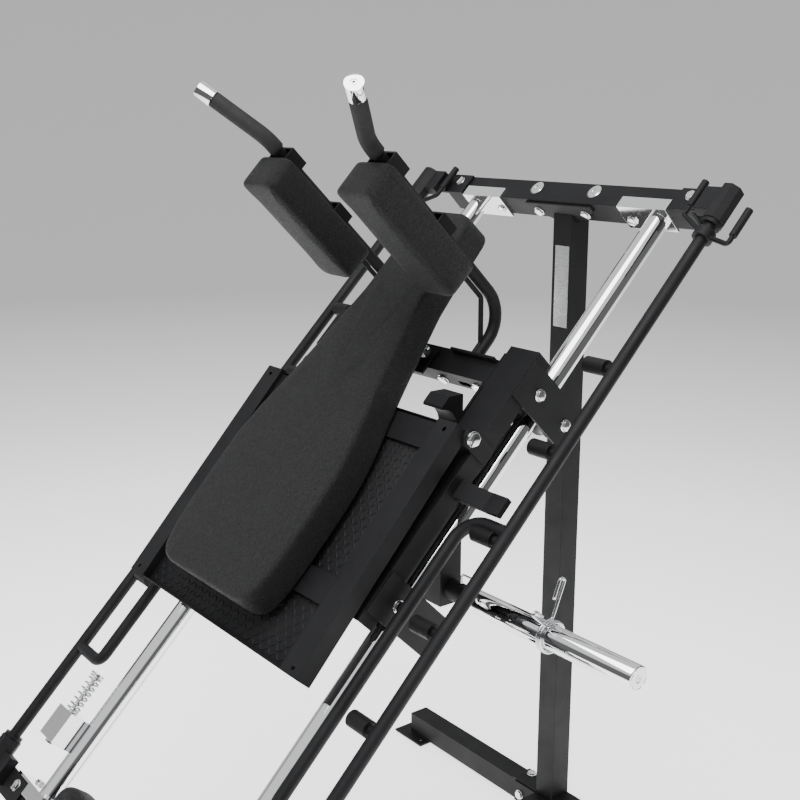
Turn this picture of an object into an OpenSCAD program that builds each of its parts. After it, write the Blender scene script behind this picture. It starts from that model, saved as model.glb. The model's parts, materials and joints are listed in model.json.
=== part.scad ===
// Leg press and hack squat machine: a sled on two 45 degree guide rails
// Millimetres, +Z up, +X to the user's right, the low seat end towards -Y
// Origin on the floor under the middle of the overall box
// Inside rail_frame() the axes are X, U (up along the rails) and N (square to them, up-front)

/* [Guide rails] */
// Diameter of a guide rail
rail_d = 48; // [42:0.5:54]
// Distance of each rail from the middle plane
rail_x = 300; // [296:1:304]
// Height of the rail axes along N
rail_n = 1173; // [1165:1:1181]
// Position of the low beam along U
low_beam_u = -630; // [-660:1:-610]
// Position of the top beam along U
top_beam_u = 1202; // [1190:1:1230]

/* [Frame tubes] */
// Width of the square frame tubes
tube_w = 60; // [56:1:64]
// Wall of the square frame tubes
tube_wall = 3; // [2:0.5:5]
// Half length of the beams across the rails
beam_half = 400; // [392:1:410]
// Half length of the rear foot tube
rear_half = 582; // [520:1:640]
// Half length of the front foot tube
front_half = 360; // [300:1:420]
// Position of the front foot tube along Y, from the post's front face
front_foot_y = -1467; // [-1500:1:-1440]
// Height of the floor pads under the foot tubes
foot_h = 12; // [8:1:16]
// Thickness of the bolted plates
plate_t = 6; // [5:0.5:8]
// Thickness of the zinc angle brackets
angle_t = 6; // [5:0.5:7]
// Length of a zinc angle bracket
angle_len = 140; // [130:1:150]

/* [Fasteners] */
// Shank diameter of the frame bolts
bolt_d = 12; // [10:1:14]
// Distance across the corners of a bolt head
head_d = 24; // [22:1:26]
// Height of a bolt head
head_h = 7; // [5:0.5:9]
// Diameter of the dome bolts on the top beam
dome_d = 38; // [30:1:40]

/* [Safety bars] */
// Diameter of a safety bar
bar_d = 28; // [25:0.5:32]
// Distance of each safety bar from the middle plane
bar_x = 489; // [486:1:496]
// Height of the safety bar axes along N
bar_n = 1224; // [1222:1:1227]
// Distance between two catch pegs
peg_pitch = 208; // [200:1:216]
// Position of the lowest catch peg along U
peg_u = -88; // [-100:1:-70]
// Number of catch pegs on a bar
peg_count = 5; // [3:1:5]
// Diameter of the rubber sleeve on a peg
peg_d = 34; // [26:1:34]
// Radius at which the grip loop runs beside its bar
loop_r = 113; // [108:1:114]
// Position of the upper end of the grip loop along U
loop_top_u = 350; // [340:1:350]
// Position of the lower end of the grip loop along U
loop_low_u = -304; // [-360:1:-300]
// Diameter of the bent lever rod
lever_d = 11; // [9:1:13]
// Diameter of the lever grips
lever_grip_d = 17; // [15:1:18]

/* [Sled] */
// Outer width of a sled side channel
channel_w = 84; // [80:1:86]
// Height of a sled side channel
channel_h = 45; // [40:1:48]
// Height of the underside of the channels along N
channel_n = 1243; // [1242:1:1248]
// Lower end of the channels along U
channel_low_u = 63; // [50:1:75]
// Upper end of the channels along U
channel_top_u = 711; // [700:1:720]
// Distance of the channel's outer face from the middle plane
channel_out_x = 346; // [344:1:347]
// Wall of the channels
channel_wall = 4; // [3:0.5:5]
// Position of the upper roller axles along U
roller_top_u = 647; // [640:1:652]
// Position of the lower roller axles along U
roller_low_u = 132; // [125:1:140]
// Width of a roller plate along U
roller_plate_w = 90; // [84:1:96]
// Width of a roller
roller_w = 38; // [32:1:44]
// Radius of a roller at the middle of its groove
roller_r = 29.7; // [26:0.1:32]

/* [Tread plate] */
// Pivot of the tread plate along U
tread_u = 475; // [470:1:480]
// Pivot of the tread plate along N
tread_n = 1314; // [1310:1:1318]
// Angle of the tread plate to the rails
tread_tilt = 2.9; // [2:0.1:3.2]
// Length of the tread frame
tread_len = 570; // [540:1:575]
// Half width of the tread frame
tread_half = 345; // [340:0.5:345.5]
// Width of the tread frame's flanges
tread_flange = 57; // [45:1:60]
// Height of the tread frame
tread_h = 39; // [34:1:42]

/* [Back pad] */
// Lower end of the back pad along U
pad_low_u = -35; // [-50:1:-20]
// Head end of the back pad along U
pad_top_u = 935; // [900:1:940]
// Thickness of the back pad
pad_t = 80; // [70:1:86]
// Hinge of the back pad along U
pad_hinge_u = 640; // [636:1:646]
// Hinge of the back pad along N
pad_hinge_n = 1306; // [1304:1:1308]
// Angle of the back pad to the rails
pad_tilt = 2.1; // [1.5:0.1:2.6]

/* [Shoulder pads] */
// Inner face of a shoulder pad from the middle plane
shoulder_x = 115; // [110:1:125]
// Width of a shoulder pad
shoulder_w = 125; // [110:1:130]
// Thickness of a shoulder pad
shoulder_t = 84; // [76:1:86]
// Height of a shoulder pad along N
shoulder_h = 316; // [300:1:320]
// Lower face of the shoulder pads along U
shoulder_u = 692; // [690:1:704]
// Diameter of the bent shoulder tubes
jtube_d = 27; // [25:1:30]
// Diameter of the foam hand grips
grip_d = 35; // [32:1:40]

/* [Weight horns] */
// Diameter of a plate sleeve
sleeve_d = 50; // [48:0.5:50.5]
// Inner end of a plate sleeve from the middle plane
sleeve_in_x = 345; // [340:1:350]
// Outer end of a plate sleeve from the middle plane
sleeve_out_x = 774; // [740:1:800]
// Distance of the horns in front of the post's front face
horn_y = 566; // [560:1:572]
// Height of the horns above the floor
horn_z = 914; // [905:1:924]
// Position of the spring collar from the middle plane
collar_x = 556; // [500:1:640]
// Wire of the spring collar
collar_wire_d = 6; // [5:0.5:7]

/* [Bumpers] */
// Diameter of the bumper spring's turns at the wire's middle
spring_d = 29; // [27:0.5:31]
// Wire of the bumper spring
spring_wire_d = 4.5; // [4:0.5:5]
// Number of turns of a bumper spring
spring_turns = 8; // [6:1:9]
// Position of the bumper washer along U
bumper_u = -324; // [-330:1:-318]
// Height of the bumper axes along N
bumper_n = 1225; // [1222:1:1228]
// Distance of the bumper axes from the middle plane
bumper_x = 352; // [350:1:354]

/* [Leg press seat] */
// Front edge of the seat cushion along U
seat_u = -515; // [-530:1:-505]
// Length of the seat cushion
seat_len = 310; // [280:1:320]
// Half width of the seat cushion
seat_half = 170; // [150:1:185]
// Thickness of the seat cushion
seat_t = 60; // [50:1:70]
// Height of the backrest cushion
backrest_len = 560; // [480:1:600]
// Thickness of the backrest cushion
backrest_t = 70; // [60:1:80]
// Lean of the backrest away from square to the rails
backrest_lean = 12; // [5:1:20]
// Half width of a standing plate
stand_w = 215; // [200:1:230]

/* [Fits] */
// Clearance of a turning shaft in its bore, on the radius
run_fit = 0.05; // [0.02:0.01:0.1]
// Gap between faces that move past each other
face_gap = 0.5; // [0.3:0.1:1]
// Gap between a cushion and what it lies beside
soft_gap = 0.3; // [0.3:0.1:1]

/* [Hidden] */
$fn = 48;

black = [0.09, 0.09, 0.095];
vinyl = [0.07, 0.07, 0.07];
zinc = [0.78, 0.79, 0.8];
chrome = [0.86, 0.87, 0.88];
rubber = [0.04, 0.04, 0.04];

root2 = sqrt(2);
half_w = tube_w / 2;
floor_top = foot_h + tube_w;

// Beams: their corners in U and N
beam_top_n = rail_n + half_w;
beam_low_n = rail_n - half_w;
top_front_u = top_beam_u - half_w;
top_back_u = top_beam_u + half_w;
low_back_u = low_beam_u + half_w;
low_front_u = low_beam_u - half_w;
low_beam_y = (low_beam_u - rail_n) / root2;

// Sled
channel_top_n = channel_n + channel_h;
channel_in_x = channel_out_x - channel_w;
plate_out_x = channel_out_x + plate_t;
axle_gap = rail_d / 2 + roller_r + 0.3;
crossbar_h = 48;
crossbar_face_u = roller_top_u - 33;
crossbar_bolt_x = [100, 212];
crossbar_bolt_n = channel_top_n - 32;
crossbar_slot_x = [158, 184];

// Safety bars
peg_tip_r = 76;
link_in_x = 345;
link_out_x = bar_x - 24;
bearing_af = 47;

// Back pad frame
pad_back_z = 1355 - 1306;

// Seat end
seat_tube_w = 50;
seat_tube_n = beam_top_n - seat_tube_w / 2;
pivot_u = seat_u - seat_len - 47;
pivot_n = beam_top_n + 37;
pivot_pin_r = 8;

// Middle of the box: the backrest's top corner in front, the rear foot plates behind
foot_plate_half = half_w + 33;
rear_y = half_w + foot_plate_half;
back_top = 70 + backrest_len;
backrest_edge_r = 16;
front_y = (pivot_u - pivot_n) / root2
  - back_top * sin(45 + backrest_lean)
  + (25 + soft_gap + backrest_edge_r / 2) * cos(45 + backrest_lean);
origin_y = -(rear_y + front_y) / 2;

// Placement helpers

module world() { translate([0, origin_y, 0]) children(); }

module rail_frame() { world() rotate([45, 0, 0]) children(); }

module both_sides() {
  children();
  mirror([1, 0, 0]) children();
}

// A box given by two opposite corners
module block(a, b) { translate(a) cube(b - a); }

// A round bar between two points
module rod(a, b, d) {
  v = b - a;
  translate(a) rotate([0, acos(v[2] / norm(v)), atan2(v[1], v[0])]) cylinder(d = d, h = norm(v));
}

function unit(v) = v / norm(v);

// A bent pipe along points, with a bend of radius r, or r[i], at each inner point
// A bend is a hair thinner than the straights and runs 1 mm into them
module pipe(points, r, d) {
  last = len(points) - 1;
  function bend_r(i) = is_list(r) ? r[i - 1] : r;
  into = [for (i = [1 : last]) unit(points[i] - points[i - 1])];
  trim = [for (i = [0 : last])
    i == 0 || i == last ? 0 : bend_r(i) * tan(acos(into[i - 1] * into[i]) / 2)];
  for (i = [1 : last])
    rod(points[i - 1] + into[i - 1] * trim[i - 1], points[i] - into[i - 1] * trim[i], d);
  for (i = [1 : last - 1]) {
    p = into[i - 1];
    q = into[i];
    angle = acos(p * q);
    axis = unit(cross(p, q));
    side = cross(axis, p);
    start = points[i] - p * trim[i];
    centre = start + side * bend_r(i);
    sink = 57.3 / bend_r(i);
    multmatrix([
      [-side[0], p[0], axis[0], centre[0]],
      [-side[1], p[1], axis[1], centre[1]],
      [-side[2], p[2], axis[2], centre[2]],
      [0, 0, 0, 1]
    ]) rotate(-sink) rotate_extrude(angle = angle + 2 * sink)
      translate([bend_r(i), 0]) circle(d = d - 0.3);
  }
}

// A hexagon bolt: washer and head above z = 0, shank below
module bolt(shank = 20) {
  cylinder(d = head_d + 3, h = 1.5);
  translate([0, 0, 1.5]) cylinder(d = head_d, h = head_h - 1.5, $fn = 6);
  if (shank > 0) translate([0, 0, -shank]) cylinder(d = bolt_d, h = shank + 0.5);
}

// A square tube along local Z
module square_tube(w, len, wall = tube_wall) {
  difference() {
    translate([-w / 2, -w / 2, 0]) cube([w, w, len]);
    translate([wall - w / 2, wall - w / 2, -1]) cube([w - 2 * wall, w - 2 * wall, len + 2]);
  }
}

// Cushions: one closed skin over a row of cross-sections

// One corner arc of a section
function arc(cx, cz, r, a0, a1, n) =
  [for (i = [0 : n]) let(a = a0 + (a1 - a0) * i / n) [cx + r * cos(a), cz + r * sin(a)]];

// Cross-section of half width w from lo to hi: rounded edges, a crown on top, sides drawn in
function section(w, lo, hi, r, crown, draw) = concat(
  [[0, lo]],
  arc(w - r / 2, lo + r / 2, r / 2, -90, 0, 2),
  [for (f = [1, 2]) [w - draw, lo + r / 2 + (hi - crown - lo - 1.5 * r) * f / 3]],
  arc(w - r, hi - crown - r, r, 0, 90, 4),
  [for (k = [2, 1, 0, -1, -2]) [k / 3 * (w - r), hi - crown * k * k / 9]],
  arc(r - w, hi - crown - r, r, 90, 180, 4),
  [for (f = [2, 1]) [draw - w, lo + r / 2 + (hi - crown - lo - 1.5 * r) * f / 3]],
  arc(r / 2 - w, lo + r / 2, r / 2, 180, 270, 2)
);

// Skin over rings of equal length, closed by a flat fan at each end
module skin(rings) {
  n = len(rings[0]);
  m = len(rings);
  points = [for (ring = rings) each ring];
  sides = [for (j = [0 : m - 2]) for (i = [0 : n - 1]) let(k = (i + 1) % n)
    each [[j * n + i, (j + 1) * n + i, (j + 1) * n + k], [j * n + i, (j + 1) * n + k, j * n + k]]];
  cap = [for (i = [1 : n - 2]) [0, i, i + 1]];
  end = [for (i = [1 : n - 2]) [(m - 1) * n, (m - 1) * n + i + 1, (m - 1) * n + i]];
  polyhedron(concat(points), concat(sides, cap, end));
}

// Half width of a rounded outline at v, between v0 and v1 with corner radius c
function corner_cut(v, v0, v1, c) =
  let(e = min(v - v0, v1 - v)) e >= c ? 0 : c - sqrt(max(0, c * c - (c - e) * (c - e)));

// A cushion along Y from v0 to v1, its half width given by stations [v, w]
module cushion(stations, thick, r, crown, draw, corner) {
  v0 = stations[0][0];
  v1 = stations[len(stations) - 1][0];
  ends = [0, 0.08, 0.22, 0.42, 0.68, 1] * corner;
  inner = [for (s = stations) if (s[0] > v0 + corner + 5 && s[0] < v1 - corner - 5) s[0]];
  at = concat([for (e = ends) v0 + e], inner, [for (k = [5 : -1 : 0]) v1 - ends[k]]);
  rings = [for (v = at)
    let(
      e = min(v - v0, v1 - v),
      w = lookup(v, stations) - corner_cut(v, v0, v1, corner),
      drop = e >= r ? 0 : r - sqrt(r * r - (r - e) * (r - e)),
      s = section(w, drop / 2, thick - drop, r, crown * min(1, 0.2 + e / 90), draw * min(1, e / 40))
    )
    [for (p = s) [p[0], v, p[1]]]];
  skin(rings);
}

// Wound wire: one unbroken tube swept along points, sides across the wire set square to it
module wire(points, d, ref, sides = 6) {
  n = len(points);
  rings = [for (i = [0 : n - 1])
    let(
      t = unit(points[min(i + 1, n - 1)] - points[max(i - 1, 0)]),
      a = unit(cross(ref, t)),
      b = cross(t, a)
    )
    [for (k = [0 : sides - 1])
      points[i] + (a * cos(360 * k / sides) + b * sin(360 * k / sides)) * d / 2]];
  skin(rings);
}

// Least distance between turns of a wound wire, surface to surface
function self_gap(points, d, apart) = min([for (i = [0 : len(points) - 1 - apart])
  for (j = [i + apart : len(points) - 1]) norm(points[i] - points[j])]) - d;

// Frame

module beam_box(u0) { block([-beam_half, u0, beam_low_n], [beam_half, u0 + tube_w, beam_top_n]); }

module beam(u0) {
  color(black) rail_frame() difference() {
    beam_box(u0);
    block([-beam_half - 1, u0 + tube_wall, beam_low_n + tube_wall],
      [beam_half + 1, u0 + tube_w - tube_wall, beam_top_n - tube_wall]);
  }
}

module top_beam() { beam(top_front_u); }

module low_beam() { beam(low_front_u); }

// T shaped gusset on the sled side of a beam, u0 its lower face
module gusset(u0) {
  translate([0, u0 + plate_t, 0]) rotate([90, 0, 0]) linear_extrude(plate_t)
    polygon([[-108, beam_top_n - 6], [-108, rail_n + 8], [-half_w, beam_low_n - 8],
      [half_w, beam_low_n - 8], [108, rail_n + 8], [108, beam_top_n - 6]]);
}

module gusset_plates() {
  color(black) rail_frame() {
    gusset(top_front_u - plate_t);
    gusset(low_back_u);
  }
}

// The post stops under the beam and behind the gusset
module rear_post() {
  color(black) difference() {
    world() union() {
      translate([0, half_w, floor_top + plate_t])
        square_tube(tube_w, root2 * beam_low_n + tube_w - floor_top - plate_t);
      block([-120, -2, floor_top], [120, tube_w + 2, floor_top + plate_t]);
    }
    rail_frame() {
      beam_box(top_front_u);
      block([-130, top_front_u - plate_t, beam_low_n - 9], [130, top_front_u, beam_top_n + 50]);
    }
  }
}

label_low_z = 1373;
label_h = 199;

module label_plate() {
  color([0.75, 0.75, 0.76]) world() block([-20, -1.2, label_low_z], [26, 0, label_low_z + label_h]);
}

// Foot tube along X with a bolted floor plate at each end
module foot_tube(y, half) {
  color(black) world() union() {
    translate([-half, y, foot_h + half_w]) rotate([0, 90, 0]) square_tube(tube_w, 2 * half);
    both_sides() difference() {
      block([half - 85, y - foot_plate_half, foot_h - plate_t],
        [half + 40, y + foot_plate_half, foot_h]);
      for (dx = [-62, 19]) for (dy = [-1, 1])
        translate([half + dx, y + dy * (foot_plate_half - 20), 0]) cylinder(r = 5.5, h = 60);
    }
  }
}

module rear_foot_tube() { foot_tube(half_w, rear_half); }

module front_foot_tube() { foot_tube(front_foot_y, front_half); }

module base_spine() {
  color(black) world() union() {
    translate([0, -plate_t, foot_h + half_w]) rotate([90, 0, 0])
      square_tube(tube_w, -front_foot_y - half_w - 2 * plate_t);
    block([-109, -plate_t, foot_h], [109, 0, floor_top]);
    block([-109, front_foot_y + half_w, foot_h], [109, front_foot_y + half_w + plate_t, floor_top]);
  }
}

module front_upright() {
  color(black) difference() {
    world() union() {
      translate([0, low_beam_y, floor_top + plate_t])
        square_tube(tube_w, root2 * rail_n + low_beam_y - floor_top);
      block([-half_w, low_beam_y - 70, floor_top],
        [half_w, low_beam_y + 70, floor_top + plate_t]);
    }
    rail_frame() {
      beam_box(low_front_u);
      block([-130, low_back_u, beam_low_n - 9], [130, low_back_u + plate_t, beam_top_n + 50]);
      block([-130, low_front_u - 400, beam_top_n], [130, low_back_u + 400, beam_top_n + 300]);
      block([-130, low_back_u, rail_n], [130, low_back_u + 400, beam_top_n + 300]);
      block([-130, low_front_u - 200, beam_low_n + 4], [130, low_front_u, beam_top_n + 1]);
    }
  }
}

// Moulded end caps in the open tube ends
module tube_caps() {
  color(rubber) {
    world() both_sides() {
      block([rear_half, 1, foot_h + 1], [rear_half + 3, tube_w - 1, floor_top - 1]);
      block([front_half, front_foot_y - half_w + 1, foot_h + 1],
        [front_half + 3, front_foot_y + half_w - 1, floor_top - 1]);
    }
    rail_frame() both_sides() for (u0 = [top_front_u, low_front_u])
      block([beam_half, u0 + 1, beam_low_n + 1], [beam_half + 3, u0 + tube_w - 1, beam_top_n - 1]);
  }
}

module rubber_feet() {
  color(rubber) world() both_sides() for (f = [[rear_half, half_w], [front_half, front_foot_y]])
    block([f[0] - 70, f[1] - half_w + 4, 0], [f[0] + 5, f[1] + half_w - 4, foot_h - plate_t]);
}

module rail() {
  color(chrome) rail_frame() translate([rail_x, low_back_u, rail_n]) rotate([-90, 0, 0])
    cylinder(d = rail_d, h = top_front_u - low_back_u, $fn = 96);
}

module rail_right() { rail(); }

module rail_left() { mirror([1, 0, 0]) rail(); }

// Zinc angle over the edge of a beam, with the rail's hole; face is the beam's sled side
module angle_bracket(x0, face, dir) {
  difference() {
    union() {
      block([x0, min(face, face + dir * angle_t), beam_low_n - 6],
        [x0 + angle_len, max(face, face + dir * angle_t), beam_top_n + angle_t]);
      block([x0, min(face, face - dir * 25), beam_top_n],
        [min(x0 + angle_len, link_in_x), max(face, face - dir * 25), beam_top_n + angle_t]);
    }
    translate([rail_x, face - 40, rail_n]) rotate([-90, 0, 0])
      cylinder(r = rail_d / 2 + run_fit, h = 80, $fn = 96);
  }
}

module angle_brackets() {
  color(zinc) rail_frame() both_sides() {
    angle_bracket(195, top_front_u, -1);
    angle_bracket(264, low_back_u, 1);
  }
}

module frame_bolts() {
  color(chrome) rail_frame() both_sides() {
    translate([77, top_front_u - plate_t, rail_n - 4]) rotate([90, 0, 0]) bolt(0);
    translate([77, low_back_u + plate_t, rail_n - 4]) rotate([-90, 0, 0]) bolt(0);
    translate([218, top_front_u - angle_t, rail_n - 10]) rotate([90, 0, 0]) bolt(0);
    translate([372, low_back_u + angle_t, rail_n - 10]) rotate([-90, 0, 0]) bolt(0);
    translate([95, top_front_u + 37, beam_top_n]) intersection() {
      translate([0, 0, -dome_d * 0.9]) sphere(r = dome_d);
      cylinder(d = dome_d, h = dome_d);
    }
    for (x = [rail_x, 95]) translate([x, top_back_u, rail_n]) rotate([-90, 0, 0]) bolt(0);
    translate([rail_x, low_front_u, rail_n]) rotate([90, 0, 0]) bolt(0);
    for (u0 = [top_front_u, low_front_u])
      translate([380, u0 + 38, beam_top_n + plate_t]) bolt(0);
  }
  color(chrome) world() both_sides() {
    translate([95, half_w + 17, floor_top + plate_t]) bolt(0);
    translate([89, -plate_t, foot_h + 24]) rotate([90, 0, 0]) bolt(0);
    translate([89, front_foot_y + half_w + plate_t, foot_h + 24]) rotate([-90, 0, 0]) bolt(0);
  }
}

// Safety bar mountings

module bearing_links() {
  color(black) rail_frame() both_sides() for (u0 = [top_front_u, low_front_u]) difference() {
    block([link_in_x, u0, beam_top_n], [link_out_x, u0 + tube_w, beam_top_n + plate_t]);
    translate([bar_x, u0 - 5, bar_n]) rotate([-90, 0, 0])
      cylinder(r = bearing_af / 2 + 1.5, h = tube_w + 10);
  }
}

// Octagonal bearing with a foot on the link plate
module bar_bearing(u0, u1, foot0, foot1) {
  difference() {
    union() {
      translate([bar_x, u0, bar_n]) rotate([-90, 22.5, 0])
        cylinder(d = bearing_af / cos(22.5), h = u1 - u0, $fn = 8);
      block([bar_x - 62, foot0, beam_top_n + plate_t], [bar_x - 18, foot1, bar_n + 10]);
    }
    translate([bar_x, u0 - 1, bar_n]) rotate([-90, 0, 0])
      cylinder(r = bar_d / 2 + run_fit, h = u1 - u0 + 2, $fn = 96);
  }
}

module bar_bearings() {
  color(black) rail_frame() both_sides() {
    bar_bearing(top_front_u - 42, top_back_u - 13, top_front_u - 14, top_back_u - 13);
    bar_bearing(low_front_u + 13, low_back_u + 42, low_front_u + 13, low_back_u + 14);
  }
}

// Safety bar with its grip loop, collar rings and peg necks; the pegs point inboard
module loop_pipe(d) {
  loop_x = bar_x - loop_r;
  loop_n = bar_n + 4;
  pipe([[bar_x, loop_low_u, bar_n], [loop_x, loop_low_u, loop_n], [loop_x, loop_top_u, loop_n],
    [bar_x, loop_top_u, bar_n]], [24, 55], d);
}

module safety_bar() {
  color(black) rail_frame() {
    translate([bar_x, low_front_u + 8, bar_n]) rotate([-90, 0, 0])
      cylinder(d = bar_d, h = top_back_u - low_front_u - 16, $fn = 96);
    loop_pipe(bar_d - 1);
    for (k = [0 : peg_count - 1])
      translate([bar_x - 22, peg_u + k * peg_pitch, bar_n]) rotate([0, 90, 0])
        cylinder(d = bar_d - 10, h = 22);
    for (u0 = [top_front_u - 42 - face_gap - 9, low_back_u + 42 + face_gap])
      translate([bar_x, u0, bar_n]) rotate([-90, 0, 0]) cylinder(d = bar_d + 16, h = 9);
  }
}

module safety_bar_right() { safety_bar(); }

module safety_bar_left() { mirror([1, 0, 0]) safety_bar(); }

// Rubber sleeves, the middle one notched where the end of the grip loop passes
module peg_sleeves() {
  color(rubber) rail_frame() difference() {
    for (k = [0 : peg_count - 1])
      translate([bar_x - peg_tip_r, peg_u + k * peg_pitch, bar_n]) rotate([0, 90, 0])
        cylinder(d = peg_d, h = peg_tip_r - 22);
    loop_pipe(bar_d - 0.4);
  }
}

module peg_sleeves_right() { peg_sleeves(); }

module peg_sleeves_left() { mirror([1, 0, 0]) peg_sleeves(); }

// Bent lever through a collar on the bar, with a grip at each end
module lever() {
  collar_u = top_front_u - 76;
  difference() {
    color(black) rail_frame() {
      difference() {
        union() {
          translate([bar_x, collar_u - 11, bar_n]) rotate([-90, 0, 0]) cylinder(d = 44, h = 22);
          pipe([[bar_x - 81, top_front_u - 2, bar_n], [bar_x - 81, top_front_u - 28, bar_n],
            [bar_x, collar_u, bar_n], [bar_x + 68, collar_u - 17, bar_n],
            [bar_x + 68, collar_u + 6, bar_n]], 7, lever_d);
        }
        translate([bar_x, collar_u - 20, bar_n]) rotate([-90, 0, 0])
          cylinder(d = bar_d, h = 40, $fn = 96);
      }
      for (g = [[bar_x - 81, top_front_u - 3], [bar_x + 68, collar_u + 5]])
        translate([g[0], g[1], bar_n]) rotate([-90, 0, 0]) cylinder(d = lever_grip_d, h = 70);
    }
  }
}

module lever_right() { lever(); }

module lever_left() { mirror([1, 0, 0]) lever(); }

// Bumpers

bumper_face_u = bumper_u - 99;

module bumper_brackets() {
  color(zinc) rail_frame() both_sides() difference() {
    union() {
      for (u0 = [bumper_face_u - 4, bumper_face_u - 74])
        block([bumper_x - 40, u0, rail_n + 14], [bumper_x + 24, u0 + 4, bumper_n + 22]);
      block([bumper_x - 40, bumper_face_u - 74, bumper_n + 18],
        [bumper_x + 24, bumper_face_u, bumper_n + 22]);
      block([bumper_x - 40, bumper_face_u - 74, rail_n + 10],
        [bumper_x - 36, bumper_face_u, bumper_n + 22]);
    }
    translate([rail_x, bumper_face_u - 80, rail_n]) rotate([-90, 0, 0])
      cylinder(d = rail_d, h = 100, $fn = 96);
    translate([bumper_x, bumper_face_u - 80, bumper_n]) rotate([-90, 0, 0])
      cylinder(r = 6 + run_fit, h = 100);
  }
}

module bumper_cap() {
  color(zinc) rail_frame() translate([bumper_x, 0, bumper_n]) rotate([-90, 0, 0]) {
    translate([0, 0, bumper_u - 5]) cylinder(d = spring_d + spring_wire_d + 1, h = 5);
    translate([0, 0, bumper_face_u - 82]) cylinder(r = 6, h = bumper_u - bumper_face_u + 80);
    translate([0, 0, bumper_face_u - 74 - 0.3 - 8]) cylinder(d = 22, h = 8, $fn = 6);
  }
}

module bumper_cap_right() { bumper_cap(); }

module bumper_cap_left() { mirror([1, 0, 0]) bumper_cap(); }

// Spring centre line: half a flat turn at each end and even turns between
spring_lo = bumper_face_u + spring_wire_d / 2 + soft_gap;
spring_hi = bumper_u - 5 - spring_wire_d / 2 - soft_gap;
spring_points = [for (i = [0 : 8 * spring_turns])
  let(a = 45 * i, f = i / (8 * spring_turns))
  [bumper_x + spring_d / 2 * cos(a), spring_lo + (spring_hi - spring_lo) * f,
    bumper_n + spring_d / 2 * sin(a)]];

echo(origin_y = origin_y);

echo(bumper_spring_gap = self_gap(spring_points, spring_wire_d, 6));

module bumper_spring() {
  color(zinc) rail_frame() wire(spring_points, spring_wire_d, [0, 1, 0]);
}

module bumper_spring_right() { bumper_spring(); }

module bumper_spring_left() { mirror([1, 0, 0]) bumper_spring(); }

// Sled

module sled_channel() {
  color(black) rail_frame() difference() {
    union() {
      block([channel_in_x, channel_low_u, channel_n], [channel_out_x, channel_top_u, channel_top_n]);
      block([channel_out_x, tread_u - 20, channel_n + 4],
        [plate_out_x, tread_u + 20, tread_n]);
      translate([channel_out_x, tread_u, tread_n]) rotate([0, 90, 0]) cylinder(r = 20, h = plate_t);
    }
    block([channel_in_x + channel_wall, channel_low_u - 1, channel_n - 1],
      [channel_out_x - channel_wall, channel_top_u - channel_wall, channel_top_n - channel_wall]);
    translate([channel_out_x - 5, tread_u, tread_n]) rotate([0, 90, 0])
      cylinder(r = bolt_d / 2, h = 20);
  }
}

module sled_channel_right() { sled_channel(); }

module sled_channel_left() { mirror([1, 0, 0]) sled_channel(); }

module roller_plate(x0, u) {
  difference() {
    block([x0, u - roller_plate_w / 2, rail_n - 72],
      [x0 + plate_t, u + roller_plate_w / 2, channel_top_n - 1]);
    for (dir = [-1, 1]) translate([x0 - 1, u, rail_n + dir * axle_gap]) rotate([0, 90, 0])
      cylinder(r = bolt_d / 2 + 0.05, h = plate_t + 2);
  }
}

module roller_plates() {
  color(black) rail_frame() both_sides() for (u = [roller_top_u, roller_low_u])
    for (x0 = [channel_out_x, channel_in_x - plate_t]) roller_plate(x0, u);
}

// Crossbars between the channels, with lips that cover the ends of the shoulder tubes
lip_x = 118;
lip_u = roller_top_u + 16;
crossbar_back_u = roller_top_u + 25;

module sled_crossbars() {
  color(black) rail_frame() {
    for (u = [roller_top_u - 4, roller_low_u]) {
      half = channel_in_x - plate_t;
      difference() {
        block([-half, u - 29, channel_top_n - crossbar_h], [half, u + 29, channel_top_n]);
        block([-half - 1, u - 29 + tube_wall, channel_top_n - crossbar_h + tube_wall],
          [half + 1, u + 29 - tube_wall, channel_top_n - tube_wall]);
        for (x = crossbar_bolt_x) both_sides() translate([x, u - 40, crossbar_bolt_n])
          rotate([-90, 0, 0]) cylinder(r = 7, h = 30);
        both_sides() hull() for (x = crossbar_slot_x) translate([x, u - 40, crossbar_bolt_n])
          rotate([-90, 0, 0]) cylinder(r = 7, h = 30);
      }
    }
    both_sides() block([lip_x, lip_u, channel_top_n - 1],
      [channel_in_x - plate_t, lip_u + plate_t, channel_top_n + 16]);
  }
}

// Arms from the channels out over the catch pegs
catch_u = roller_top_u - 281;
catch_w = 40;

module catch_arms() {
  color(black) rail_frame() both_sides() {
    translate([0, catch_u + catch_w, 0]) rotate([90, 0, 0]) linear_extrude(catch_w)
      polygon([[channel_out_x, channel_n + 24], [channel_out_x, channel_n + 4],
        [bar_x - 62, channel_n + 1], [bar_x - 62, channel_n + 11]]);
    block([bar_x - 62, catch_u, channel_n - 0.5], [bar_x - 21, catch_u + catch_w, channel_n + 13]);
  }
}

horn_hang_w = 60;
horn_hang_d = 56;
horn_hang_h = 450;

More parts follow.
